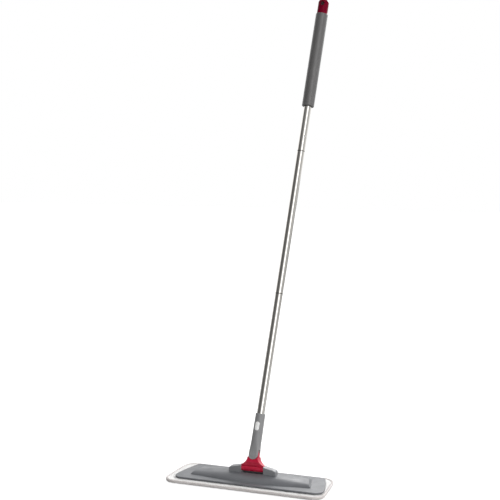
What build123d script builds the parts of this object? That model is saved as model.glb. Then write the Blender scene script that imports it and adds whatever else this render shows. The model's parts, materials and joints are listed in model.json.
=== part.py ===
"""Flat mop: a hook-and-loop microfibre pad, a ridged head, a two-axis red yoke and a three-section steel pole.

Frame: the origin is on the floor under the middle of the hinge, +X runs along the head, -Y is the front, +Z is up.
The pole is modelled leaning back and a little to the right, with the head flat on the floor.
The pad is stuck on by hand and sits a little to the left of the head.
"""

import os
from math import cos, radians, sin

from build123d import *

os.makedirs("parts", exist_ok=True)

# ---------------------------------------------------------------- driving dimensions (mm and degrees)

back_lean = 15.0  # the pole leans back about the barrel hinge
side_lean = 4.0  # and to the right about the yoke pin
hinge_height = 38.3  # barrel axis above the floor
pivot_distance = 35.0  # from the barrel axis up to the yoke pin

running = 0.05  # radial clearance of a pin that turns
gap = 0.3  # clearance between parts that move past each other

# pad
pile_top = 4.0
core_top = 7.0
pad_top = 8.5
binding_width = 6.0
binding_bottom = 1.2
binding_top = 9.8
pad_half_front = 214.0
pad_half_back = 205.0
pad_front = 78.0
pad_back = 76.0
pad_corner = 30.0
pad_bulge = 1.5
pad_shift = -8.0  # to the left of the head's middle
pile_gap = 0.1  # between the binding and the layers inside it
core_inset = 3.0
binding_round = 2.4

# head plate
plate_bottom = 10.2
plate_top = 14.0
plate_half_front = 200.0
plate_half_back = 173.5
plate_front = 60.0
plate_back = 62.0
plate_corners = (21.0, 6.0)  # front and back
plate_bulge = 5.5  # how far the end edges bow out
plate_edge_round = 1.6
ridge_wall = 2.8
# ridge sections: distance from the middle, foot half-width, crown half-width, crown height
ridge_sections = [
    (0, 46, 13, 28),
    (62, 43, 13, 27),
    (90, 39.5, 13, 25.4),
    (115, 36, 13, 23.4),
    (140, 33, 14, 21.8),
    (172, 28.5, 14, 20.6),
]
foot_lean = 1.0  # how far the ridge's foot leans in through the plate
flank_swell = (0.16, 0.55)  # the concave flank's handle at the foot, as shares of its reach and rise
crown_swell = (0.45, 0.06)  # and at the crown
crown_dome = 0.5
ridge_sink = 3.3  # how far the ridge runs down into the plate
hollow_foot_inset = 5.0
hollow_crown_inset = 1.5
hollow_overshoot = 2.0  # the hollow runs out below the plate
ridge_end = 158.0  # where the ridge is trimmed, on its middle line
ridge_end_slope = 0.24  # the trimmed ends run nearly parallel to the plate's
ridge_end_draft = 35.0
seat_height = 25.8  # flat seat for the hinge bracket, cut into the ridge
well_half_length = 29.9  # the opening under the barrel
well_half_depth = 7.6
rib_thickness = 2.0
rib_depth = 100.0
rib_bottom = 12.2
rib_top = 28.2
rib_places = (-118, -84, -22, 22, 84, 118)

# hook tape under the plate
hook_thickness = 1.4
hook_width = 13.0
hook_length = 320.0
hook_inset = 52.0
end_hook_length = 74.0
end_hook_inset = 174.0

# hinge bracket
bracket_half_length = 63.6
bracket_half_depth = 9.6
bracket_base = 1.4
lobe_inner = 30.2
lobe_top = 46.4
lobe_middle = (45.0, 41.0)  # the lobes' upper edges fall almost straight
lobe_shoulder = 42.0
lobe_edge = 35.0
lobe_round = 2.0
screw_places = (-57.0, -47.0, 47.0, 57.0)
screw_radius = 1.5
screw_length = 9.0
screw_head_radius = 3.4
screw_head_height = 2.2
screw_hole_radius = 1.7
screw_slot_length = 3.6
screw_slot_width = 0.8
screw_slot_depth = 1.2

# barrel hinge
barrel_radius = 8.0
barrel_half_length = 29.8
pin_radius = 3.0
barrel_pin_half_length = 41.5

# yoke
tongue_radius = 12.3
tongue_half_thickness = 5.25
body_half_depth = 12.5
cradle_radius = 12.4  # clears the ears all through their swing
swing_limit = 60.0  # degrees to each side, where the socket meets the shoulders
shoulder_half_width = 13.9
body_break = 16.0  # where the body starts to narrow, measured up from the barrel axis
yoke_foot = 6.6
yoke_foot_depth = 8.8
yoke_neck_depth = 5.4

# socket, measured up the pole from the yoke pin
ear_radius = 12.0
ear_half_depth = 13.0
slot_half_width = tongue_half_thickness + gap
slot_top = 13.4
tube_seat = 34.0
ear_block_top = 8.0
socket_round = 40.0
socket_low_radius = 13.2
socket_top_radius = 12.4
socket_top = 105.0
ear_corner = 4.0
pin_skin = 2.5
pin_back = 11.0  # where the pin ends inside the rear ear
plug_chamfer = 0.5

# pole
tube_radius = 10.0
tube_wall = 0.5
section_length = 385.0
bore_radius = tube_radius + running
seam_1 = tube_seat + section_length
seam_2 = seam_1 + section_length
pole_top = seam_2 + section_length
stadium_clearance = 0.25

# release button in the socket
button_middle = 72.9
button_width = 10.6
button_height = 22.4
button_radius = 13.4
button_flange_width = 14.0
button_flange_corner = 3.0
button_flange_height = 27.0
button_back = 5.2

# snap buttons that lock the pole sections
connector_reach = 60.0
connector_outer = 9.45
connector_inner = 7.4
snap_above_seam = 41.0
snap_radius = 2.5
snap_tip = 11.2
snap_flange_radius = 3.6
snap_flange_top = 6.2
snap_back = 5.2
snap_round = 1.2
lower_snap_direction = 180.0  # degrees from the front towards the right
upper_snap_direction = 44.0
leaf = 0.6

# grip and hang cap
grip_bottom = 928.0
grip_top = 1187.3
grip_radius = 16.3
grip_wall = 2.4
collar_height = 10.0
collar_inset = 0.8
cap_bottom = 1187.5
cap_top = 1228.4
cap_radius = 14.3
cap_corner = 8.5
cap_spigot_bottom = 1155.0
hang_hole_place = 1214.7
hang_hole_radius = 6.0
hang_hole_round = 1.0

# ---------------------------------------------------------------- planes and axes of the leaning pieces

a = radians(back_lean)
b = radians(side_lean)
right = Vector(1, 0, 0)
yoke_up = Vector(0, sin(a), cos(a))
rear = Vector(0, cos(a), -sin(a))
barrel_point = Vector(0, 0, hinge_height)
pin_point = barrel_point + yoke_up * pivot_distance
pole_up = right * sin(b) + yoke_up * cos(b)
pole_right = right * cos(b) - yoke_up * sin(b)

yoke_front = Plane(origin=barrel_point, x_dir=right, z_dir=-rear)  # local y runs up the yoke
yoke_side = Plane(origin=barrel_point, x_dir=rear, z_dir=right)
pole_plane = Plane(origin=pin_point, x_dir=pole_right, z_dir=pole_up)  # local z runs up the pole
pole_front = Plane(origin=pin_point, x_dir=pole_right, z_dir=-rear)  # local y runs up the pole
pole_axis = Axis(pin_point, pole_up)


def radial_plane(angle, height, distance):
    """A plane facing away from the pole's axis, with its local y up the pole."""
    turn = radians(angle)
    outward = pole_right * sin(turn) - rear * cos(turn)
    across = pole_right * cos(turn) + rear * sin(turn)
    origin = pin_point + pole_up * height + outward * distance
    return Plane(origin=origin, x_dir=across, z_dir=outward)


def lengthwise_plane(angle, height):
    """A plane through the pole's axis: local x points outward, local y up the pole."""
    turn = radians(angle)
    outward = pole_right * sin(turn) - rear * cos(turn)
    across = pole_right * cos(turn) + rear * sin(turn)
    return Plane(origin=pin_point + pole_up * height, x_dir=outward, z_dir=-across)


def head_outline(height, half_front, half_back, front, back, corners, bulge, inset):
    """The head's tapered plan outline: a longer front edge, bowed ends and rounded corners."""
    side_middle = (half_front + half_back) / 2 + bulge
    with BuildSketch(Plane.XY.offset(height)) as outline:
        with BuildLine():
            Line((-half_front, -front), (half_front, -front))
            ThreePointArc((half_front, -front), (side_middle, (back - front) / 2), (half_back, back))
            Line((half_back, back), (-half_back, back))
            ThreePointArc((-half_back, back), (-side_middle, (back - front) / 2), (-half_front, -front))
        make_face()
        fillet(outline.vertices().group_by(Axis.Y)[0], radius=corners[0])
        fillet(outline.vertices().group_by(Axis.Y)[-1], radius=corners[1])
        if inset:
            offset(amount=-inset)
    return outline.sketch


def pad_layer(bottom, top, inset):
    """One flat layer of the pad, in from the pad's edge by the inset."""
    corners = (pad_corner, pad_corner)
    outline = head_outline(bottom, pad_half_front, pad_half_back, pad_front, pad_back, corners, pad_bulge, inset)
    extrude(Pos(pad_shift, 0, 0) * outline, amount=top - bottom)


def ridge_section(x, foot_half, crown_half, crown, bottom):
    """One cross-section of the ridge: steep flanks that round over into a slightly domed crown."""
    reach = foot_half - crown_half
    rise = crown - plate_top
    foot = foot_half - foot_lean
    low = (foot - reach * flank_swell[0], plate_top + rise * flank_swell[1])
    high = (crown_half + reach * crown_swell[0], crown - rise * crown_swell[1])
    with BuildSketch(Plane(origin=(x, 0, 0), x_dir=(0, 1, 0), z_dir=(1, 0, 0))) as section:
        with BuildLine():
            Line((-foot_half, bottom), (foot_half, bottom))
            Line((foot_half, bottom), (foot, plate_top))
            Bezier((foot, plate_top), low, high, (crown_half, crown))
            ThreePointArc((crown_half, crown), (0, crown + crown_dome), (-crown_half, crown))
            Bezier((-crown_half, crown), (-high[0], high[1]), (-low[0], low[1]), (-foot, plate_top))
            Line((-foot, plate_top), (-foot_half, bottom))
        make_face()
    return section.sketch


def mirrored_sections(sections):
    """The sections from the left tip to the right tip."""
    return [(-x, *rest) for x, *rest in reversed(sections[1:])] + list(sections)


# ---------------------------------------------------------------- pad: pile, foam core, loop backing, binding

with BuildPart() as pad_pile:
    pad_layer(0, pile_top, binding_width + pile_gap)
pad_pile.part.label = "pad_pile"
export_step(pad_pile.part, "parts/pad_pile.step")

with BuildPart() as pad_core:
    pad_layer(pile_top, core_top, binding_width + core_inset)
pad_core.part.label = "pad_core"
export_step(pad_core.part, "parts/pad_core.step")

with BuildPart() as pad_backing:
    pad_layer(core_top, pad_top, binding_width + pile_gap)
pad_backing.part.label = "pad_backing"
export_step(pad_backing.part, "parts/pad_backing.step")

with BuildPart() as pad_binding:
    pad_layer(binding_bottom, binding_top, 0)
    with BuildPart(mode=Mode.SUBTRACT):
        pad_layer(binding_bottom, binding_top, binding_width)
    fillet(pad_binding.faces().sort_by(Axis.Z)[-1].edges(), radius=binding_round)
    fillet(pad_binding.faces().sort_by(Axis.Z)[0].edges(), radius=binding_round)
pad_binding.part.label = "pad_binding"
export_step(pad_binding.part, "parts/pad_binding.step")

# ---------------------------------------------------------------- head plate with its hollow, ribbed ridge

with BuildPart() as ridge_hollow:
    for x, foot_half, crown_half, crown in mirrored_sections(ridge_sections[:-1]):
        inner_crown = min(crown - ridge_wall, seat_height - ridge_wall)
        inner_foot = foot_half - hollow_foot_inset
        inner_half = crown_half - hollow_crown_inset
        add(ridge_section(x, inner_foot, inner_half, inner_crown, plate_bottom - hollow_overshoot))
    loft()
    for x in rib_places:
        with Locations((x, 0, (rib_bottom + rib_top) / 2)):
            Box(rib_thickness, rib_depth, rib_top - rib_bottom, mode=Mode.SUBTRACT)

with BuildPart() as head_plate:
    extrude(
        head_outline(
            plate_bottom,
            plate_half_front,
            plate_half_back,
            plate_front,
            plate_back,
            plate_corners,
            plate_bulge,
            0,
        ),
        amount=plate_top - plate_bottom,
    )
    fillet(head_plate.faces().sort_by(Axis.Z)[-1].edges(), radius=plate_edge_round)
    with BuildPart(mode=Mode.PRIVATE) as ridge:
        for section in mirrored_sections(ridge_sections):
            add(ridge_section(*section, plate_top - ridge_sink))
        loft()
        # slanted, sloping ends
        front_end = ridge_end + ridge_end_slope * plate_front
        back_end = ridge_end - ridge_end_slope * plate_back
        with BuildSketch(Plane.XY.offset(plate_bottom)):
            Polygon(
                (-front_end, -plate_front),
                (front_end, -plate_front),
                (back_end, plate_back),
                (-back_end, plate_back),
                align=None,
            )
        extrude(amount=hinge_height - plate_bottom, taper=ridge_end_draft, mode=Mode.INTERSECT)
    add(ridge.part)
    add(ridge_hollow.part, mode=Mode.SUBTRACT)
    # flat seat for the hinge bracket, the opening under the barrel and the screw holes
    with BuildSketch(Plane.XY.offset(seat_height)):
        Rectangle(2 * bracket_half_length + gap, 2 * bracket_half_depth + gap)
    extrude(amount=hinge_height - seat_height, mode=Mode.SUBTRACT)
    with BuildSketch(Plane.XY.offset(seat_height)):
        with Locations(*[(x, 0) for x in screw_places]):
            Circle(screw_hole_radius)
        Rectangle(2 * well_half_length, 2 * well_half_depth)
    extrude(amount=-ridge_wall - gap, mode=Mode.SUBTRACT)
head_plate.part.label = "head_plate"
export_step(head_plate.part, "parts/head_plate.step")

# ---------------------------------------------------------------- hook tape strips under the plate

for name, middle, length, width in (
    ("hook_strip_front", (0, -hook_inset), hook_length, hook_width),
    ("hook_strip_rear", (0, hook_inset), hook_length, hook_width),
    ("hook_strip_left", (-end_hook_inset, 0), hook_width, end_hook_length),
    ("hook_strip_right", (end_hook_inset, 0), hook_width, end_hook_length),
):
    with BuildPart() as hook_strip:
        with BuildSketch(Plane.XY.offset(plate_bottom - hook_thickness)):
            with Locations(middle):
                RectangleRounded(length, width, 3)
        extrude(amount=hook_thickness)
    hook_strip.part.label = name
    export_step(hook_strip.part, f"parts/{name}.step")

# ---------------------------------------------------------------- hinge bracket, its screws, pin and keepers

bracket_front = Plane(origin=(0, 0, 0), x_dir=(1, 0, 0), z_dir=(0, -1, 0))  # local y is the height

with BuildPart() as hinge_bracket:
    with BuildSketch(bracket_front):
        with BuildLine():
            Line((lobe_inner, seat_height), (lobe_inner, lobe_top))
            Bezier(
                (lobe_inner, lobe_top),
                lobe_middle,
                (bracket_half_length, lobe_shoulder),
                (bracket_half_length, lobe_edge),
            )
            Line((bracket_half_length, lobe_edge), (bracket_half_length, seat_height))
            Line((bracket_half_length, seat_height), (lobe_inner, seat_height))
        make_face()
        mirror(about=Plane.YZ)
    extrude(amount=bracket_half_depth, both=True)
    fillet(hinge_bracket.edges().filter_by(GeomType.BEZIER), radius=lobe_round)
    with BuildSketch(Plane.XY.offset(seat_height)):
        Rectangle(2 * bracket_half_length, 2 * bracket_half_depth)
        Rectangle(2 * well_half_length, 2 * well_half_depth, mode=Mode.SUBTRACT)
    extrude(amount=bracket_base)
    # the pin's seats, open below so that the pin drops in from underneath
    with BuildSketch(bracket_front):
        for side in (-1, 1):
            with Locations((side * (lobe_inner + barrel_pin_half_length) / 2, (seat_height + hinge_height) / 2)):
                Rectangle(barrel_pin_half_length - lobe_inner, hinge_height - seat_height)
    extrude(amount=pin_radius, both=True, mode=Mode.SUBTRACT)
    with BuildSketch(Plane.YZ):
        with Locations((0, hinge_height)):
            Circle(pin_radius)
    extrude(amount=barrel_pin_half_length, both=True, mode=Mode.SUBTRACT)
    with BuildSketch(Plane.XY.offset(seat_height)):
        with Locations(*[(x, 0) for x in screw_places]):
            Circle(screw_radius)
    extrude(amount=screw_length, mode=Mode.SUBTRACT)
hinge_bracket.part.label = "hinge_bracket"
export_step(hinge_bracket.part, "parts/hinge_bracket.step")

with BuildPart() as pin_keepers:
    with BuildSketch(bracket_front):
        for side in (-1, 1):
            with Locations((side * (lobe_inner + barrel_pin_half_length) / 2, (seat_height + hinge_height) / 2)):
                Rectangle(barrel_pin_half_length - lobe_inner - gap, hinge_height - seat_height)
    extrude(amount=pin_radius, both=True)
    with BuildSketch(Plane.YZ):
        with Locations((0, hinge_height)):
            Circle(pin_radius)
    extrude(amount=barrel_pin_half_length, both=True, mode=Mode.SUBTRACT)
pin_keepers.part.label = "pin_keepers"
export_step(pin_keepers.part, "parts/pin_keepers.step")

with BuildPart() as barrel_pin:
    with BuildSketch(Plane.YZ):
        with Locations((0, hinge_height)):
            Circle(pin_radius)
    extrude(amount=barrel_pin_half_length, both=True)
barrel_pin.part.label = "barrel_pin"
export_step(barrel_pin.part, "parts/barrel_pin.step")

screw_seat = seat_height - ridge_wall
with BuildPart() as bracket_screws:
    with BuildSketch(Plane.XY.offset(screw_seat)):
        with Locations(*[(x, 0) for x in screw_places]):
            Circle(screw_radius)
    extrude(amount=ridge_wall + screw_length - 0.5)
    with BuildSketch(Plane.XY.offset(screw_seat)):
        with Locations(*[(x, 0) for x in screw_places]):
            Circle(screw_head_radius)
    extrude(amount=-screw_head_height)
    with BuildSketch(Plane.XY.offset(screw_seat - screw_head_height)):
        with Locations(*[(x, 0) for x in screw_places]):
            Rectangle(screw_slot_length, screw_slot_width)
            Rectangle(screw_slot_width, screw_slot_length)
    extrude(amount=screw_slot_depth, mode=Mode.SUBTRACT)
bracket_screws.part.label = "bracket_screws"
export_step(bracket_screws.part, "parts/bracket_screws.step")

# ---------------------------------------------------------------- red yoke, drawn up from the barrel axis

swing = radians(swing_limit)
cradle_start = (cradle_radius * cos(swing), pivot_distance - cradle_radius * sin(swing))
shoulder_height = pivot_distance + (shoulder_half_width * cos(swing) - cradle_radius) / sin(swing)
shoulder = (shoulder_half_width, shoulder_height)

with BuildPart() as yoke:
    # full-depth body: flared flanks, and a cradle under the socket's ears
    with BuildSketch(yoke_front):
        with BuildLine():
            Line((0, 0), (barrel_half_length, 0))
            Line((barrel_half_length, 0), (barrel_half_length, yoke_foot + 1.5))
            Bezier(
                (barrel_half_length, yoke_foot + 1.5),
                (20, 13.5),
                (14.2, 19),
                shoulder,
            )
            Line(shoulder, cradle_start)
            ThreePointArc(
                cradle_start,
                (cradle_radius * sin(swing / 4), pivot_distance - cradle_radius * cos(swing / 4)),
                (0, pivot_distance - cradle_radius),
            )
            Line((0, pivot_distance - cradle_radius), (0, 0))
        make_face()
        mirror(about=Plane.YZ)
    extrude(amount=body_half_depth, both=True)
    # side profile: narrows towards the barrel, then steps in above it
    with BuildSketch(yoke_side):
        with BuildLine():
            Polyline(
                (0, 0),
                (yoke_neck_depth, 0),
                (yoke_neck_depth, yoke_foot - 1.4),
                (yoke_foot_depth, yoke_foot),
                (body_half_depth, body_break),
                (body_half_depth, pivot_distance),
                (0, pivot_distance),
                (0, 0),
            )
        make_face()
        mirror(about=Plane.YZ)
    extrude(amount=barrel_half_length, both=True, mode=Mode.INTERSECT)
    # tongue that stands between the socket's ears
    with BuildSketch(yoke_front):
        with Locations((0, pivot_distance)):
            Circle(tongue_radius)
        with BuildLine():
            Polyline(
                (-tongue_radius, pivot_distance),
                (tongue_radius, pivot_distance),
                shoulder,
                (shoulder_half_width, body_break),
                (-shoulder_half_width, body_break),
                (-shoulder_half_width, shoulder_height),
                (-tongue_radius, pivot_distance),
            )
        make_face()
    extrude(amount=tongue_half_thickness, both=True)
    # hinge barrel
    with BuildSketch(yoke_side):
        Circle(barrel_radius)
    extrude(amount=barrel_half_length, both=True)
    with BuildSketch(yoke_side):
        Circle(pin_radius + running)
    extrude(amount=barrel_half_length, both=True, mode=Mode.SUBTRACT)
    with BuildSketch(yoke_front):
        with Locations((0, pivot_distance)):
            Circle(pin_radius + running)
    extrude(amount=body_half_depth, both=True, mode=Mode.SUBTRACT)
yoke.part.label = "yoke"
export_step(yoke.part, "parts/yoke.step")

# ---------------------------------------------------------------- pole socket with its two ears


with BuildPart() as socket:
    with BuildSketch(pole_plane.offset(-ear_radius)):
        RectangleRounded(2 * ear_radius, 2 * ear_half_depth, ear_corner)
    extrude(amount=ear_radius + ear_block_top)
    with BuildSketch(pole_front):
        Circle(ear_radius)
        with Locations((0, ear_block_top / 2)):
            Rectangle(2 * ear_radius, ear_block_top)
    extrude(amount=ear_half_depth + 1, both=True, mode=Mode.INTERSECT)
    with BuildPart(mode=Mode.PRIVATE) as shoulder:
        with BuildSketch(pole_plane.offset(ear_block_top)):
            RectangleRounded(2 * ear_radius, 2 * ear_half_depth, ear_corner)
        with BuildSketch(pole_plane.offset(socket_round)):
            Circle(socket_low_radius)
        loft()
    add(shoulder.part)
    with BuildPart(mode=Mode.PRIVATE) as barrel_wall:
        with BuildSketch(pole_plane.offset(socket_round)):
            Circle(socket_low_radius)
        with BuildSketch(pole_plane.offset(socket_top)):
            Circle(socket_top_radius)
        loft()
        fillet(barrel_wall.edges().sort_by(pole_axis)[-1], radius=1.0)
    add(barrel_wall.part)
    # slot for the yoke's tongue
    with BuildSketch(pole_plane.offset(-ear_radius - 1)):
        Rectangle(3 * ear_radius, 2 * slot_half_width)
    extrude(amount=ear_radius + 1 + slot_top, mode=Mode.SUBTRACT)
    # blind pin bore, open at the back
    with BuildSketch(pole_front.offset(-ear_half_depth)):
        Circle(pin_radius)
    extrude(amount=2 * ear_half_depth - pin_skin, mode=Mode.SUBTRACT)
    # bore for the lower tube and the window for its button
    with BuildSketch(pole_plane.offset(tube_seat)):
        Circle(bore_radius)
    extrude(amount=socket_top, mode=Mode.SUBTRACT)
    with BuildSketch(radial_plane(0, button_middle, 0)):
        SlotOverall(button_height + 2 * stadium_clearance, button_width + 2 * stadium_clearance, rotation=90)
    extrude(amount=2 * socket_low_radius, mode=Mode.SUBTRACT)
socket.part.label = "socket"
export_step(socket.part, "parts/socket.step")

with BuildPart() as yoke_pin:
    with BuildSketch(pole_front.offset(-pin_back)):
        Circle(pin_radius)
    extrude(amount=pin_back + ear_half_depth - pin_skin)
yoke_pin.part.label = "yoke_pin"
export_step(yoke_pin.part, "parts/yoke_pin.step")

with BuildPart() as pin_plug:
    with BuildSketch(pole_front.offset(-ear_half_depth)):
        Circle(pin_radius)
    extrude(amount=ear_half_depth - pin_back)
    chamfer(pin_plug.edges().group_by(Axis(pin_point, rear))[-1], length=plug_chamfer)
pin_plug.part.label = "pin_plug"
export_step(pin_plug.part, "parts/pin_plug.step")

# ---------------------------------------------------------------- steel pole in three sections

for name, bottom, top, angle, height in (
    ("lower_tube", tube_seat, seam_1, None, None),
    ("middle_tube", seam_1, seam_2, lower_snap_direction, seam_1 + snap_above_seam),
    ("upper_tube", seam_2, pole_top, upper_snap_direction, seam_2 + snap_above_seam),
):
    with BuildPart() as tube:
        with BuildSketch(pole_plane.offset(bottom)):
            Circle(tube_radius)
            Circle(tube_radius - tube_wall, mode=Mode.SUBTRACT)
        extrude(amount=top - bottom)
        if angle is None:
            with BuildSketch(radial_plane(0, button_middle, 0)):
                SlotOverall(
                    button_height + 2 * stadium_clearance, button_width + 2 * stadium_clearance, rotation=90
                )
        else:
            with BuildSketch(radial_plane(angle, height, 0)):
                Circle(snap_radius + stadium_clearance)
        extrude(amount=2 * tube_radius, mode=Mode.SUBTRACT)
    tube.part.label = name
    export_step(tube.part, f"parts/{name}.step")

# ---------------------------------------------------------------- release button at the foot of the pole

with BuildPart() as release_button:
    with BuildSketch(radial_plane(0, button_middle, button_back)):
        RectangleRounded(button_flange_width, button_flange_height, button_flange_corner)
    extrude(amount=tube_radius)
    with BuildSketch(pole_plane):
        Circle(tube_radius - tube_wall - gap)
    extrude(amount=socket_top, mode=Mode.INTERSECT)
    with BuildPart(mode=Mode.PRIVATE) as post:
        with BuildSketch(radial_plane(0, button_middle, button_back)):
            SlotOverall(button_height, button_width, rotation=90)
        extrude(amount=2 * tube_radius)
        with BuildSketch(pole_plane):
            Circle(button_radius)
        extrude(amount=socket_top, mode=Mode.INTERSECT)
    add(post.part)
release_button.part.label = "release_button"
export_step(release_button.part, "parts/release_button.step")

# ---------------------------------------------------------------- connectors and snap buttons inside the pole

for name, seam, angle in (
    ("lower_connector", seam_1, lower_snap_direction),
    ("upper_connector", seam_2, upper_snap_direction),
):
    with BuildPart() as connector:
        with BuildSketch(pole_plane.offset(seam - connector_reach)):
            Circle(connector_outer)
            Circle(connector_inner, mode=Mode.SUBTRACT)
        extrude(amount=2 * connector_reach)
        with BuildSketch(radial_plane(angle, seam + snap_above_seam, 0)):
            Circle(snap_radius + stadium_clearance)
        extrude(amount=2 * tube_radius, mode=Mode.SUBTRACT)
    connector.part.label = name
    export_step(connector.part, f"parts/{name}.step")

for name, seam, angle in (
    ("lower_snap_button", seam_1, lower_snap_direction),
    ("upper_snap_button", seam_2, upper_snap_direction),
):
    base = radial_plane(angle, seam + snap_above_seam, snap_back)
    with BuildPart() as snap_button:
        with BuildSketch(base):
            Circle(snap_flange_radius)
        extrude(amount=snap_flange_top - snap_back)
        with BuildSketch(base):
            Circle(snap_radius)
        extrude(amount=snap_tip - snap_back)
        fillet(snap_button.edges().sort_by(Axis(pin_point, base.z_dir))[-1], radius=snap_round)
    snap_button.part.label = name
    export_step(snap_button.part, f"parts/{name}.step")

# ---------------------------------------------------------------- leaf springs behind the buttons

for name, angle, height, wall, back, width, reach in (
    ("release_spring", 0, button_middle, tube_radius - tube_wall, button_back, 9, 30),
    ("lower_snap_spring", lower_snap_direction, seam_1 + snap_above_seam, connector_inner, snap_back, 5, 20),
    ("upper_snap_spring", upper_snap_direction, seam_2 + snap_above_seam, connector_inner, snap_back, 5, 20),
):
    fixed_leg = -(wall**2 - (width / 2) ** 2) ** 0.5 + leaf / 2 + 0.05
    with BuildPart() as spring:
        with BuildSketch(lengthwise_plane(angle, height)):
            with BuildLine():
                FilletPolyline(
                    (fixed_leg, reach / 2),
                    (fixed_leg, -reach),
                    (back - leaf / 2, -reach / 3),
                    (back - leaf / 2, reach / 3),
                    radius=1.5,
                )
            trace(line_width=leaf)
        extrude(amount=width / 2, both=True)
    spring.part.label = name
    export_step(spring.part, f"parts/{name}.step")

# ---------------------------------------------------------------- grip and hang cap

with BuildPart() as grip_sleeve:
    with BuildSketch(pole_plane.offset(grip_bottom)):
        Circle(grip_radius)
    extrude(amount=grip_top - grip_bottom)
    fillet(grip_sleeve.edges().group_by(pole_axis)[0], radius=2.0)
    fillet(grip_sleeve.edges().group_by(pole_axis)[-1], radius=1.0)
    with BuildSketch(pole_plane.offset(grip_bottom)):
        Circle(grip_radius - grip_wall)
    extrude(amount=grip_top - grip_bottom, mode=Mode.SUBTRACT)
grip_sleeve.part.label = "grip_sleeve"
export_step(grip_sleeve.part, "parts/grip_sleeve.step")

for name, bottom in (
    ("grip_collar_bottom", grip_bottom + collar_inset),
    ("grip_collar_top", grip_top - collar_height - collar_inset),
):
    with BuildPart() as collar:
        with BuildSketch(pole_plane.offset(bottom)):
            Circle(grip_radius - grip_wall)
            Circle(tube_radius, mode=Mode.SUBTRACT)
        extrude(amount=collar_height)
    collar.part.label = name
    export_step(collar.part, f"parts/{name}.step")

with BuildPart() as hang_cap:
    with BuildSketch(pole_plane.offset(cap_bottom)):
        Circle(cap_radius)
    extrude(amount=cap_top - cap_bottom)
    fillet(hang_cap.edges().group_by(pole_axis)[-1], radius=cap_corner)
    fillet(hang_cap.edges().group_by(pole_axis)[0], radius=0.8)
    with BuildSketch(pole_front.offset(-2 * cap_radius)):
        with Locations((0, hang_hole_place)):
            Circle(hang_hole_radius)
    extrude(amount=4 * cap_radius, mode=Mode.SUBTRACT)
    fillet(hang_cap.edges().filter_by(GeomType.BSPLINE), radius=hang_hole_round)
    # recess for the tube's end, and the spigot inside the tube
    with BuildSketch(pole_plane.offset(cap_bottom)):
        Circle(tube_radius)
    extrude(amount=pole_top - cap_bottom, mode=Mode.SUBTRACT)
    with BuildSketch(pole_plane.offset(cap_spigot_bottom)):
        Circle(tube_radius - tube_wall)
    extrude(amount=cap_bottom + 2 - cap_spigot_bottom)
hang_cap.part.label = "hang_cap"
export_step(hang_cap.part, "parts/hang_cap.step")
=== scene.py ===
"""Looks for the flat mop: studio, materials of the moulded and steel parts, and the sewn microfibre pad."""

import json
import random
from math import atan2, cos, hypot, pi, radians, sin, sqrt

import bmesh
import bpy
from mathutils import Matrix, Vector, noise


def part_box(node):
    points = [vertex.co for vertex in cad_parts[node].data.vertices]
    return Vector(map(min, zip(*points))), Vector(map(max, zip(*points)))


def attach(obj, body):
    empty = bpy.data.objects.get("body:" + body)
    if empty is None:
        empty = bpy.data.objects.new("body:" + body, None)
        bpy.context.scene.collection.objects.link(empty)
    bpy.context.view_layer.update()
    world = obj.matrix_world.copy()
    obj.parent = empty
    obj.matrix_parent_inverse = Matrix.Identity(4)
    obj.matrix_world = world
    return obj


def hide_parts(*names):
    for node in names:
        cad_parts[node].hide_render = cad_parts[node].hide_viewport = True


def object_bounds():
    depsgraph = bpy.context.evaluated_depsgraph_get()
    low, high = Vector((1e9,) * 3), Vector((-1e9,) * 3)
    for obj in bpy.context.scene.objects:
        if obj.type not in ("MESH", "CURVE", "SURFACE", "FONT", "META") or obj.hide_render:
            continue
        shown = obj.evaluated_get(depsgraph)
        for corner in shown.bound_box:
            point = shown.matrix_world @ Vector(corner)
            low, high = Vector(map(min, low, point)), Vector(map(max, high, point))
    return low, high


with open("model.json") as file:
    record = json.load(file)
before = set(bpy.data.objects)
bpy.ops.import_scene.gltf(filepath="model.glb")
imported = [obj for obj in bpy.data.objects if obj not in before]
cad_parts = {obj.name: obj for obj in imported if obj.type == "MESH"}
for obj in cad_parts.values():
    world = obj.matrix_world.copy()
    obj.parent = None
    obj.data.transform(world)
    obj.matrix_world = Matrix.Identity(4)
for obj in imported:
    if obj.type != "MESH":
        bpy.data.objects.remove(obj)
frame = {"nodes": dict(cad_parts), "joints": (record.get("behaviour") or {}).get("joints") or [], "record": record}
cad_low, cad_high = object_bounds()
record = frame["record"]
nodes = frame["nodes"]
rng = random.Random(7)
scene = bpy.context.scene
scene.view_settings.view_transform = "Standard"

# All lengths are in metres, in the frame of the CAD.

# the photo's viewpoint
CAMERA_TARGET = Vector((-0.0086, 0, 0.5998))
CAMERA_AZIMUTH = radians(20.31)  # from the front towards the right
CAMERA_ELEVATION = radians(5.54)
CAMERA_DISTANCE = 2.5107
CAMERA_LENS = 72
CAMERA_SENSOR = 36

# brightness of the studio's walls by direction: degrees from the camera's side, positive to the picture's right
WALL_SHADES = [
    (-180, 1.4), (-150, 1.3), (-122, 0.9), (-104, 0.12), (-58, 0.13), (-25, 0.20), (-10, 0.45), (4, 1.2),
    (14, 2.5), (26, 2.5), (38, 0.70), (60, 0.50), (92, 0.66), (120, 0.95), (180, 1.3),
]
WALL_TOP = 0.45  # upward part of the direction where the walls start to fade into the ceiling
CEILING_START = 0.9
CEILING_SHADE = 0.84

FLOOR_HALF_SIZE = 12
FLOOR_GAP = 0.0002
FLOOR_GLOW = 0.8

TUBE_RADIUS = 0.010
SEAM_HALF_WIDTH = 0.0009
# painted shade: colour of the dark line painted at each seam of the pole, standing in for the shadow in the gap
# between two tubes
SEAM_GAP_SHADE = (0.07, 0.065, 0.06)

# the pad's outline and edge
CORNER_TRIM = 0.0008  # what the rounded corners take off each end of the front edge
CORNER_RADIUS = 0.030
CORNER_STEPS = 12
SIDE_BOW = 0.0015
TAPER = 0.009  # how much shorter the back edge is than the front, at each end

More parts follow.
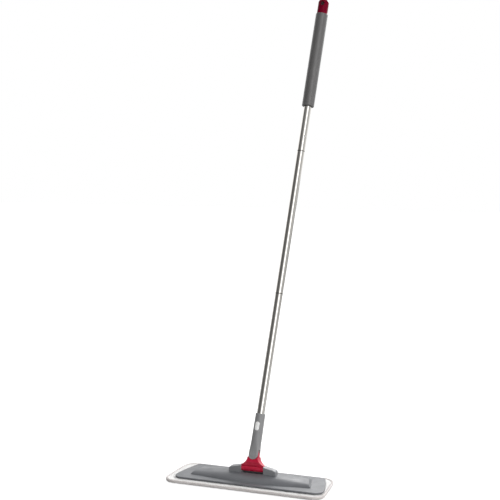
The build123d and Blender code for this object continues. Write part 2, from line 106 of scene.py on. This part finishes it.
joints = {j["name"]: j for j in frame["joints"]}
mounts = {m["name"]: m for m in record["mounts"]}
pin_point = Vector(joints["yoke_pin_hinge"]["pos_m"])
pole_up = (Vector(mounts["hang_hole"]["pos_m"]) - pin_point).normalized()
pole_rear = Vector(joints["yoke_pin_hinge"]["axis"]).normalized()
pole_right = pole_rear.cross(pole_up).normalized()


# ---------------------------------------------------------------- camera and light

def make_camera():
    """Sets up the camera and returns the direction from its target to it."""
    level = cos(CAMERA_ELEVATION)
    back = Vector((sin(CAMERA_AZIMUTH) * level, -cos(CAMERA_AZIMUTH) * level, sin(CAMERA_ELEVATION)))
    data = bpy.data.cameras.new("camera")
    data.lens = CAMERA_LENS
    data.sensor_width = CAMERA_SENSOR
    data.clip_end = 50
    camera = bpy.data.objects.new("camera", data)
    camera.location = CAMERA_TARGET + back * CAMERA_DISTANCE
    camera.rotation_mode = "QUATERNION"
    camera.rotation_quaternion = (-back).to_track_quat("-Z", "Y")
    scene.collection.objects.link(camera)
    scene.camera = camera
    return back


camera_side = make_camera()
camera_side.z = 0
camera_side.normalize()
camera_right = Vector((-camera_side.y, camera_side.x, 0))


def area_light(name, place, target, size, power, glossy=True):
    """A rectangular light aimed at the target, shown in reflections only if glossy."""
    data = bpy.data.lights.new(name, "AREA")
    data.shape = "RECTANGLE"
    data.size = size[0]
    data.size_y = size[1]
    data.energy = power
    light = bpy.data.objects.new(name, data)
    light.location = place
    light.visible_camera = False
    light.visible_glossy = glossy
    light.rotation_mode = "QUATERNION"
    light.rotation_quaternion = (Vector(target) - Vector(place)).to_track_quat("-Z", "Y")
    scene.collection.objects.link(light)


def studio_world():
    """Walls dark on the picture's left and brightest just right of the camera; the camera itself sees white."""
    world = bpy.data.worlds.new("studio")
    scene.world = world
    world.use_nodes = True
    tree = world.node_tree
    tree.nodes.clear()
    coord = tree.nodes.new("ShaderNodeTexCoord")
    parts = []
    for axis in (camera_side, camera_right):
        dot = tree.nodes.new("ShaderNodeVectorMath")
        dot.operation = "DOT_PRODUCT"
        dot.inputs[1].default_value = axis
        tree.links.new(coord.outputs["Generated"], dot.inputs[0])
        parts.append(dot.outputs["Value"])
    angle = tree.nodes.new("ShaderNodeMath")
    angle.operation = "ARCTAN2"
    tree.links.new(parts[1], angle.inputs[0])
    tree.links.new(parts[0], angle.inputs[1])
    turn = tree.nodes.new("ShaderNodeMapRange")
    turn.inputs["From Min"].default_value = -pi
    turn.inputs["From Max"].default_value = pi
    tree.links.new(angle.outputs[0], turn.inputs["Value"])
    ramp = tree.nodes.new("ShaderNodeValToRGB")
    elements = ramp.color_ramp.elements
    while len(elements) > 1:
        elements.remove(elements[-1])
    for i, (degrees, value) in enumerate(WALL_SHADES):
        position = (degrees + 180) / 360
        element = elements[0] if i == 0 else elements.new(position)
        element.position = position
        element.color = (value, value, value, 1)
    tree.links.new(turn.outputs[0], ramp.inputs[0])
    split = tree.nodes.new("ShaderNodeSeparateXYZ")
    tree.links.new(coord.outputs["Generated"], split.inputs[0])
    height = tree.nodes.new("ShaderNodeMapRange")
    height.inputs["From Min"].default_value = WALL_TOP
    height.inputs["From Max"].default_value = CEILING_START
    tree.links.new(split.outputs["Z"], height.inputs["Value"])
    mix = tree.nodes.new("ShaderNodeMix")
    mix.data_type = "RGBA"
    mix.inputs["B"].default_value = (CEILING_SHADE, CEILING_SHADE, CEILING_SHADE, 1)
    tree.links.new(height.outputs[0], mix.inputs["Factor"])
    tree.links.new(ramp.outputs[0], mix.inputs["A"])
    studio = tree.nodes.new("ShaderNodeBackground")
    tree.links.new(mix.outputs["Result"], studio.inputs["Color"])
    plain = tree.nodes.new("ShaderNodeBackground")
    plain.inputs["Color"].default_value = (1, 1, 1, 1)
    plain.inputs["Strength"].default_value = 1.0
    path = tree.nodes.new("ShaderNodeLightPath")
    pick = tree.nodes.new("ShaderNodeMixShader")
    tree.links.new(path.outputs["Is Camera Ray"], pick.inputs[0])
    tree.links.new(studio.outputs[0], pick.inputs[1])
    tree.links.new(plain.outputs[0], pick.inputs[2])
    out = tree.nodes.new("ShaderNodeOutputWorld")
    tree.links.new(pick.outputs[0], out.inputs[0])


studio_world()
area_light("back_key", (0.4, 3.2, 2.15), (0, 0, 0.3), size=(2.4, 0.7), power=86)
area_light("front_fill", (0.8, -3.0, 1.2), (0, 0, 0.5), size=(2.4, 2.0), power=8, glossy=False)
area_light("side_fill", (2.6, -0.2, 1.3), (0, 0, 0.5), size=(0.8, 2.0), power=30, glossy=False)


# ---------------------------------------------------------------- materials

class Look:
    """A node material built in a few short steps."""

    def __init__(self, name, base, roughness, metallic=0.0, **sockets):
        self.material = bpy.data.materials.new(name)
        self.material.use_nodes = True
        self.tree = self.material.node_tree
        self.shader = self.tree.nodes["Principled BSDF"]
        self.shader.inputs["Base Color"].default_value = (*base, 1)
        self.shader.inputs["Roughness"].default_value = roughness
        self.shader.inputs["Metallic"].default_value = metallic
        for socket, value in sockets.items():
            self.shader.inputs[socket.replace("_", " ")].default_value = value
        self.coord = self.tree.nodes.new("ShaderNodeTexCoord")
        self.normal = None

    def link(self, a, b):
        self.tree.links.new(a, b)

    def place(self, stretch=(1, 1, 1), along_pole=False):
        """Object coordinates in metres, stretched, and turned to run up the pole if asked."""
        out = self.coord.outputs["Object"]
        if along_pole:
            turned = self.tree.nodes.new("ShaderNodeMapping")
            rows = Matrix((pole_right, pole_rear, pole_up))
            turned.inputs["Rotation"].default_value = rows.to_euler("XYZ")
            self.link(out, turned.inputs["Vector"])
            out = turned.outputs[0]
        mapping = self.tree.nodes.new("ShaderNodeMapping")
        mapping.inputs["Scale"].default_value = stretch
        self.link(out, mapping.inputs["Vector"])
        return mapping.outputs[0]

    def noise(self, scale, detail=3, stretch=(1, 1, 1), along_pole=False, rough=0.5):
        """Soft noise from 0 to 1, with about that many features per metre."""
        node = self.tree.nodes.new("ShaderNodeTexNoise")
        node.inputs["Scale"].default_value = scale
        node.inputs["Detail"].default_value = detail
        node.inputs["Roughness"].default_value = rough
        self.link(self.place(stretch, along_pole), node.inputs["Vector"])
        return node.outputs["Fac"]

    def cells(self, scale, stretch=(1, 1, 1), randomness=1.0):
        """Distance from the middle of each cell, with about that many cells per metre."""
        node = self.tree.nodes.new("ShaderNodeTexVoronoi")
        node.inputs["Scale"].default_value = scale
        node.inputs["Randomness"].default_value = randomness
        self.link(self.place(stretch), node.inputs["Vector"])
        return node.outputs["Distance"]

    def span(self, value, low, high, start=0.0, end=1.0):
        """The value mapped from start..end to low..high and held there beyond."""
        node = self.tree.nodes.new("ShaderNodeMapRange")
        node.inputs["From Min"].default_value = start
        node.inputs["From Max"].default_value = end
        node.inputs["To Min"].default_value = low
        node.inputs["To Max"].default_value = high
        self.link(value, node.inputs["Value"])
        return node.outputs[0]

    def shade(self, value, dark, light, start=0.3, end=0.7):
        """Base colour from dark to light with the value."""
        ramp = self.tree.nodes.new("ShaderNodeValToRGB")
        ramp.color_ramp.elements[0].position = start
        ramp.color_ramp.elements[0].color = (*dark, 1)
        ramp.color_ramp.elements[1].position = end
        ramp.color_ramp.elements[1].color = (*light, 1)
        self.link(value, ramp.inputs[0])
        self.link(ramp.outputs[0], self.shader.inputs["Base Color"])
        return ramp.outputs[0]

    def tint(self, colour, factor, towards):
        """Mixes a second colour over the given base colour by a factor."""
        mix = self.tree.nodes.new("ShaderNodeMix")
        mix.data_type = "RGBA"
        mix.inputs["B"].default_value = (*towards, 1)
        self.link(factor, mix.inputs["Factor"])
        self.link(colour, mix.inputs["A"])
        self.link(mix.outputs["Result"], self.shader.inputs["Base Color"])

    def gloss(self, value, low, high):
        """Roughness from low to high with the value."""
        self.link(self.span(value, low, high, 0.3, 0.7), self.shader.inputs["Roughness"])

    def bump(self, value, depth):
        """Adds a bump of that depth to the surface."""
        node = self.tree.nodes.new("ShaderNodeBump")
        node.inputs["Strength"].default_value = 1.0
        node.inputs["Distance"].default_value = depth
        self.link(value, node.inputs["Height"])
        if self.normal is not None:
            self.link(self.normal, node.inputs["Normal"])
        self.normal = node.outputs[0]
        self.link(self.normal, self.shader.inputs["Normal"])

    def bands(self, places, half_width):
        """1 within half_width of each distance up the pole from the yoke pin, else 0."""
        away = self.tree.nodes.new("ShaderNodeVectorMath")
        away.operation = "SUBTRACT"
        away.inputs[1].default_value = pin_point
        self.link(self.coord.outputs["Object"], away.inputs[0])
        up = self.tree.nodes.new("ShaderNodeVectorMath")
        up.operation = "DOT_PRODUCT"
        up.inputs[1].default_value = pole_up
        self.link(away.outputs["Vector"], up.inputs[0])
        total = None
        for place in places:
            band = self.tree.nodes.new("ShaderNodeMath")
            band.operation = "COMPARE"
            band.inputs[1].default_value = place
            band.inputs[2].default_value = half_width
            self.link(up.outputs["Value"], band.inputs[0])
            if total is None:
                total = band.outputs[0]
                continue
            both = self.tree.nodes.new("ShaderNodeMath")
            both.operation = "ADD"
            self.link(total, both.inputs[0])
            self.link(band.outputs[0], both.inputs[1])
            total = both.outputs[0]
        return total

    def edges(self):
        """1 where the surface is convex and 0 where it is flat, for worn edges."""
        geometry = self.tree.nodes.new("ShaderNodeNewGeometry")
        return self.span(geometry.outputs["Pointiness"], 0.0, 1.0, 0.50, 0.58)


def moulded_plastic(name, base, roughness, grain, wear=None, **sockets):
    """Plastic with faint patches, a fine grain of that depth, and scuffed edges if a wear colour is given."""
    look = Look(name, base, roughness, **sockets)
    patches = look.noise(14, 4)
    dark = tuple(c * 0.92 for c in base)
    light = tuple(min(1, c * 1.07) for c in base)
    colour = look.shade(patches, dark, light)
    if wear:
        scuffs = look.noise(60, 6, rough=0.7)
        both = look.tree.nodes.new("ShaderNodeMath")
        both.operation = "MULTIPLY"
        look.link(look.edges(), both.inputs[0])
        look.link(look.span(scuffs, 0, 0.55, 0.45, 0.65), both.inputs[1])
        look.tint(colour, both.outputs[0], wear)
    look.gloss(look.noise(45, 5), roughness * 0.86, roughness * 1.16)
    look.bump(look.cells(1500), grain)
    look.bump(look.noise(120, 3), grain * 2.2)
    return look.material


grey_plastic = moulded_plastic(
    "grey_moulded", (0.117, 0.122, 0.132), roughness=0.42, grain=0.00003, wear=(0.26, 0.26, 0.27)
)
bracket_plastic = moulded_plastic(
    "grey_bracket", (0.205, 0.209, 0.220), roughness=0.46, grain=0.00003, wear=(0.30, 0.30, 0.31)
)
socket_plastic = moulded_plastic(
    "grey_socket", (0.250, 0.251, 0.255), roughness=0.42, grain=0.00003, wear=(0.34, 0.34, 0.35)
)
grip_plastic = moulded_plastic(
    "grey_grip", (0.104, 0.101, 0.101), roughness=0.37, grain=0.00003, Specular_IOR_Level=0.75
)
inner_plastic = moulded_plastic("dark_insert", (0.06, 0.06, 0.064), roughness=0.5, grain=0.00003)
white_plastic = moulded_plastic("white_button", (0.94, 0.94, 0.93), roughness=0.36, grain=0.00002)
red_plastic = moulded_plastic(
    "red_moulded", (0.500, 0.003, 0.036), roughness=0.30, grain=0.00001, wear=(0.53, 0.03, 0.07),
    Specular_IOR_Level=0.42,
)
cap_plastic = moulded_plastic(
    "red_cap", (0.155, 0.0002, 0.014), roughness=0.26, grain=0.00001, wear=(0.20, 0.002, 0.03),
    Specular_IOR_Level=0.05,
)


def tube_end(name):
    """How far up the pole from the yoke pin a tube section ends."""
    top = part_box(name)[1].z
    lean = sqrt(1 - pole_up.z ** 2)
    return (top - TUBE_RADIUS * lean - pin_point.z) / pole_up.z


def steel(name, base, roughness, along_pole=False, ground=0.00001, seams=()):
    """Steel with grinding marks of the depth ground, smudges, and painted shade: dark lines at the seams up the
    pole that stand in for the shadow in the gaps between the tubes.
    """
    look = Look(name, base, roughness, metallic=1.0)
    stretch = (1, 1, 0.02) if along_pole else (1, 1, 1)
    grind = look.noise(900, 3, stretch, along_pole, rough=0.6)
    smudge = look.noise(9, 5, along_pole=along_pole)
    colour = look.shade(smudge, tuple(c * 0.93 for c in base), base)
    if seams:
        # painted shade at each seam, for the shadow in the gap between two tubes
        look.tint(colour, look.bands(seams, SEAM_HALF_WIDTH), SEAM_GAP_SHADE)
    look.gloss(smudge, roughness * 0.75, roughness * 1.4)
    look.bump(grind, ground)
    return look.material


pole_steel = steel(
    "polished_pole", (0.78, 0.755, 0.715), roughness=0.10, along_pole=True, ground=0.000004,
    seams=(tube_end("lower_tube"), tube_end("middle_tube")),
)
screw_steel = steel("screw_steel", (0.60, 0.60, 0.61), roughness=0.28)
spring_steel = steel("spring_steel", (0.50, 0.51, 0.53), roughness=0.3)


def hook_tape():
    """Black tape with a grid of small hooks."""
    look = Look("hook_tape", (0.045, 0.045, 0.048), 0.6)
    hooks = look.cells(700, randomness=0.15)
    look.shade(hooks, (0.09, 0.09, 0.095), (0.02, 0.02, 0.022), 0.1, 0.5)
    look.bump(look.span(hooks, 1, 0, 0, 0.6), 0.0006)
    return look.material


def looped_cloth(name, dark, light, scale, depth):
    """Short microfibre loops: tight cells broken up by finer fuzz."""
    look = Look(name, light, 0.92, Sheen_Weight=0.35)
    loops = look.cells(scale)
    fuzz = look.noise(scale * 2.6, 5, rough=0.75)
    patches = look.noise(16, 4)
    both = look.tree.nodes.new("ShaderNodeMath")
    both.operation = "MULTIPLY_ADD"
    both.inputs[1].default_value = 0.35
    look.link(fuzz, both.inputs[0])
    look.link(look.span(loops, 0.55, 0.0, 0, 0.7), both.inputs[2])
    colour = look.shade(both.outputs[0], dark, light, 0.18, 0.62)
    look.tint(colour, look.span(patches, 0, 0.18, 0.45, 0.7), dark)
    look.bump(look.span(loops, 1, 0, 0, 0.7), depth)
    look.bump(fuzz, depth * 0.6)
    return look.material


def woven_tape(name, dark, light, scale, depth):
    """Woven tape or thread: tight, nearly even yarns with fuzz and darker patches."""
    look = Look(name, light, 0.85, Sheen_Weight=0.2)
    yarn = look.cells(scale, (1, 1, 0.55), 0.35)
    fuzz = look.noise(scale * 1.7, 4, rough=0.7)
    colour = look.shade(yarn, light, dark, 0.15, 0.75)
    look.tint(colour, look.span(look.noise(30, 5), 0, 0.4, 0.42, 0.7), dark)
    look.bump(look.span(yarn, 1, 0, 0, 0.6), depth)
    look.bump(fuzz, depth * 0.7)
    return look.material


loop_cloth = looped_cloth("white_loop", (0.86, 0.85, 0.84), (0.98, 0.975, 0.965), scale=620, depth=0.0009)
pile_cloth = looped_cloth("microfibre_pile", (0.42, 0.40, 0.38), (0.74, 0.71, 0.68), scale=800, depth=0.0006)
binding_tape = woven_tape("binding_tape", (0.50, 0.465, 0.455), (0.86, 0.82, 0.805), scale=900, depth=0.0005)
stitch_thread = woven_tape("stitch_thread", (0.74, 0.73, 0.71), (0.92, 0.91, 0.89), scale=2600, depth=0.0001)

materials = {
    "grey_plastic": grey_plastic,
    "hook_tape": hook_tape(),
    "red_plastic": red_plastic,
    "pole_steel": pole_steel,
    "screw_steel": screw_steel,
    "spring_steel": spring_steel,
    "inner_plastic": inner_plastic,
    "grip_plastic": grip_plastic,
    "white_plastic": white_plastic,
    "pile": pile_cloth,
    "foam": loop_cloth,
    "loop": loop_cloth,
    "binding": binding_tape,
}
slots = {s["node"]: s["material_slot"] for s in record["subparts"]}
own_looks = {"hinge_bracket": bracket_plastic, "socket": socket_plastic, "hang_cap": cap_plastic}
for name, node in nodes.items():
    node.data.materials.clear()
    node.data.materials.append(own_looks.get(name) or materials[slots[name]])


# ---------------------------------------------------------------- the sewn pad

pad_low, pad_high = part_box("pad_binding")
pile_low, pile_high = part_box("pad_pile")
backing_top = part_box("pad_backing")[1].z
pad_middle = (pad_low.x + pad_high.x) / 2
half_front = (pad_high.x - pad_low.x) / 2 + CORNER_TRIM


def pad_outline(count):
    """Evenly spaced points and outward normals round the pad's edge, from above."""
    front, back = pad_low.y, pad_high.y
    half_back = half_front - TAPER
    corners = [(-half_front, front), (half_front, front), (half_back, back), (-half_back, back)]
    points = []
    for i, corner in enumerate(corners):
        here = Vector(corner)
        before = Vector(corners[i - 1])
        after = Vector(corners[(i + 1) % 4])
        into, out = (before - here).normalized(), (after - here).normalized()
        half = into.angle(out) / 2
        reach = CORNER_RADIUS / (sin(half) / cos(half))
        centre = here + (into + out).normalized() * (CORNER_RADIUS / sin(half))
        start, end = here + into * reach, here + out * reach
        a0 = atan2(*(start - centre).yx)
        a1 = atan2(*(end - centre).yx)
        sweep = (a1 - a0 + pi) % (2 * pi) - pi
        for k in range(CORNER_STEPS + 1):
            t = a0 + sweep * k / CORNER_STEPS
            points.append(centre + Vector((cos(t), sin(t))) * CORNER_RADIUS)
    lengths = [0]
    for a, b in zip(points, points[1:] + points[:1]):
        lengths.append(lengths[-1] + (b - a).length)
    ring = []
    k = 0
    for i in range(count):
        d = lengths[-1] * i / count
        while lengths[k + 1] < d:
            k += 1
        a, b = points[k], points[(k + 1) % len(points)]
        ring.append(a.lerp(b, (d - lengths[k]) / (lengths[k + 1] - lengths[k])))
    for p in ring:  # the ends bow out a little
        share = (p.y - front) / (back - front)
        outward = 1 if p.x > 0 else -1
        p.x += outward * SIDE_BOW * 4 * share * (1 - share) * min(1, abs(p.x) / half_front)
        p.x += pad_middle
    normals = []
    for i, p in enumerate(ring):
        along = ring[(i + 1) % count] - ring[i - 1]
        normals.append(Vector((along.y, -along.x)).normalized())
    return ring, normals


def mesh_piece(name, verts, faces, material, smooth=True):
    """A new object of that name in the scene, made of these vertices and faces."""
    mesh = bpy.data.meshes.new(name)
    mesh.from_pydata(verts, [], faces)
    mesh.update()
    if smooth:
        mesh.polygons.foreach_set("use_smooth", [True] * len(mesh.polygons))
    mesh.materials.append(material)
    piece = bpy.data.objects.new(name, mesh)
    scene.collection.objects.link(piece)
    return piece


def rough(p, scale, seed=0.0):
    """Smooth unevenness between about -1 and 1 at a point, fixed by the point and the seed."""
    return noise.noise(Vector((p[0] * scale, p[1] * scale, p[2] * scale + seed)))


def pad_cushion():
    """The foam core in its white loop cover: softly crowned, pulled in along the binding."""
    count = 560  # points round the edge
    top_steps = 30  # rings from the middle line to the edge
    bottom_steps = 8
    crowding = 0.75  # below 1, the rings crowd towards the edge
    inset = 0.0045  # from the binding's outer edge to the cover's
    bottom_inset = inset + 0.001
    puff_width = 0.012  # how far in from the edge the cover is pulled down
    pull = 0.0012
    swell, ripple = 0.00035, 0.00018
    spine = half_front - 0.075  # half the length of the middle line
    side_depths = (0.0018, 0.0034, 0.0050)
    bottom = pile_high.z - 0.0006
    weld = 0.00005
    ring, normals = pad_outline(count)
    rings = []

    def at(p, t):
        """A point a share t of the way from the middle line to the edge."""
        middle = Vector((pad_middle + max(-spine, min(spine, p.x - pad_middle)), 0))
        return middle.lerp(p, t)

    for k in range(top_steps + 1):
        t = (k / top_steps) ** crowding
        loop = []
        for p, n in zip(ring, normals):
            q = at(p - n * inset, t)
            edge = (p - n * inset - q).length
            puff = min(1, edge / puff_width)
            z = backing_top - pull * (1 - puff) ** 2
            z += swell * rough((q.x, q.y, 0), 45) + ripple * rough((q.x, q.y, 0), 220, 3)
            loop.append((q.x, q.y, z))
        rings.append(loop)
    for depth in side_depths:
        z = backing_top - depth
        rings.append([(p.x - n.x * inset, p.y - n.y * inset, z) for p, n in zip(ring, normals)])
    for k in range(bottom_steps, -1, -1):
        t = (k / bottom_steps) ** crowding
        rings.append([(*at(p - n * bottom_inset, t), bottom) for p, n in zip(ring, normals)])
    verts = [v for loop in rings for v in loop]
    faces = []
    for k in range(len(rings) - 1):
        for i in range(count):
            j = (i + 1) % count
            faces.append((k * count + i, k * count + j, (k + 1) * count + j, (k + 1) * count + i))
    piece = mesh_piece("pad_cushion", verts, faces, loop_cloth)
    work = bmesh.new()
    work.from_mesh(piece.data)
    bmesh.ops.remove_doubles(work, verts=work.verts, dist=weld)
    bmesh.ops.recalc_face_normals(work, faces=work.faces)
    work.to_mesh(piece.data)
    work.free()
    return piece


def pad_edge():
    """The binding: a tape folded over the pad's edge, with gathers and a slight sag between them."""
    count, around = 1400, 20
    width = 0.0031  # half the binding's width
    squareness = 2.6  # 2 would make its section an ellipse
    sag = 0.00035
    gather_depth = 0.10  # as a share of the half width, like the fuzz
    fuzz_depth = 0.03
    height = (pad_high.z - pad_low.z) / 2
    middle = (pad_high.z + pad_low.z) / 2
    verts = []
    for p, n in zip(*pad_outline(count)):
        gather = 0.5 + 0.5 * rough((p.x, p.y, 0), 160)
        wave = sag * rough((p.x, p.y, 0), 60, 5)
        for k in range(around):
            a = 2 * pi * k / around
            c, s = cos(a), sin(a)
            r = 1 / (abs(c) ** squareness + abs(s) ** squareness) ** (1 / squareness)
            puff = 1 - gather_depth * gather - fuzz_depth * rough((p.x, p.y, s), 420, 9)
            out = -width + c * r * width * puff
            verts.append((p.x + n.x * out, p.y + n.y * out, middle + s * r * height * puff + wave))
    faces = []
    for i in range(count):
        j = (i + 1) % count
        for k in range(around):
            m = (k + 1) % around
            faces.append((i * around + k, i * around + m, j * around + m, j * around + k))
    return mesh_piece("pad_edge_binding", verts, faces, binding_tape)


def blob(place, along, size, rows, columns):
    """Vertices and faces of a small rounded grain lying along a direction."""
    along = along.normalized()
    side = Vector((0, 0, 1)).cross(along)
    side = side.normalized() if side.length > 1e-4 else Vector((1, 0, 0))
    up = along.cross(side)
    verts = []
    for i in range(1, rows):
        a = pi * i / rows
        for k in range(columns):
            b = 2 * pi * k / columns
            offset = along * (cos(a) * size[0]) + side * (sin(a) * cos(b) * size[1])
            offset += up * (sin(a) * sin(b) * size[2])
            verts.append(place + offset)
    verts.append(place + along * size[0])
    verts.append(place - along * size[0])
    faces = []
    for i in range(rows - 2):
        for k in range(columns):
            m = (k + 1) % columns
            faces.append((i * columns + k, (i + 1) * columns + k, (i + 1) * columns + m, i * columns + m))
    first, last, end = len(verts) - 2, len(verts) - 1, (rows - 2) * columns
    for k in range(columns):
        m = (k + 1) % columns
        faces.append((first, k, m))
        faces.append((end + m, end + k, last))
    return verts, faces


def blobs(name, grains, material):
    """One piece made of many grains, each given as the arguments of blob."""
    verts, faces = [], []
    for grain in grains:
        v, f = blob(*grain)
        start = len(verts)
        verts += v
        faces += [tuple(start + i for i in face) for face in f]
    return mesh_piece(name, verts, faces, material)


def pad_stitches():
    """A running stitch along the binding's inner edge."""
    count = 260
    inset = 0.0049
    level = pad_high.z - 0.0008
    size = (0.0016, 0.0004, 0.0004)
    grains = []
    for p, n in zip(*pad_outline(count)):
        place = Vector((p.x - n.x * inset, p.y - n.y * inset, level))
        grains.append((place, Vector((-n.y, n.x, 0)), size, 4, 6))
    return blobs("pad_stitches", grains, stitch_thread)


def pad_tufts():
    """Rows of short microfibre tufts under the pad."""
    step = 0.0066
    rim = 0.009
    jitter = 0.0008
    tall = 0.0021
    size = (tall, 0.0034, 0.0031)
    rows = int((pile_high.y - pile_low.y) / step)
    grains = []
    for r in range(rows):
        y = pile_low.y + step * (r + 0.5)
        share = (y - pad_low.y) / (pad_high.y - pad_low.y)
        half = half_front - TAPER * share - rim
        columns = int(2 * half / step)
        for c in range(columns):
            x = -half + step * (c + 0.5 + 0.5 * (r % 2))
            if abs(x) > half or corner_cut(x, y, half):
                continue
            x += rng.uniform(-jitter, jitter)
            lean = Vector((rng.uniform(-0.5, 0.5), rng.uniform(-0.3, 0.3), 1))
            place = Vector((pad_middle + x, y + rng.uniform(-jitter, jitter), tall * 1.05))
            grains.append((place, lean, size, 5, 7))
    return blobs("pad_pile_tufts", grains, pile_cloth)


def corner_cut(x, y, half):
    """True outside the rounded corners of the tufted area."""
    r = CORNER_RADIUS - 0.006
    dx = abs(x) - (half - r)
    dy = max(pile_low.y + r - y, y - (pile_high.y - r))
    return dx > 0 and dy > 0 and hypot(dx, dy) > r


cushion = pad_cushion()
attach(cushion, "pad")
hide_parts("pad_core", "pad_backing")

edge = pad_edge()
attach(edge, "pad")
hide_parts("pad_binding")

stitches = pad_stitches()
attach(stitches, "pad")

tufts = pad_tufts()
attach(tufts, "pad")
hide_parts("pad_pile")


# ---------------------------------------------------------------- floor

def floor():
    """The studio's floor: a light grey that the camera sees as white, with the mop's shadow on it."""
    half = FLOOR_HALF_SIZE
    level = cad_low.z - FLOOR_GAP
    verts = [(-half, -half, level), (half, -half, level), (half, half, level), (-half, half, level)]
    look = Look("studio_floor", (0.93, 0.93, 0.93), 0.8)
    look.shade(look.noise(3, 4), (0.36, 0.36, 0.36), (0.38, 0.38, 0.38))
    look.shader.inputs["Emission Color"].default_value = (1, 1, 1, 1)
    seen = look.tree.nodes.new("ShaderNodeLightPath").outputs["Is Camera Ray"]
    look.link(look.span(seen, 0, FLOOR_GLOW), look.shader.inputs["Emission Strength"])
    plane = mesh_piece("floor", verts, [(0, 1, 2, 3)], look.material, smooth=False)


floor()
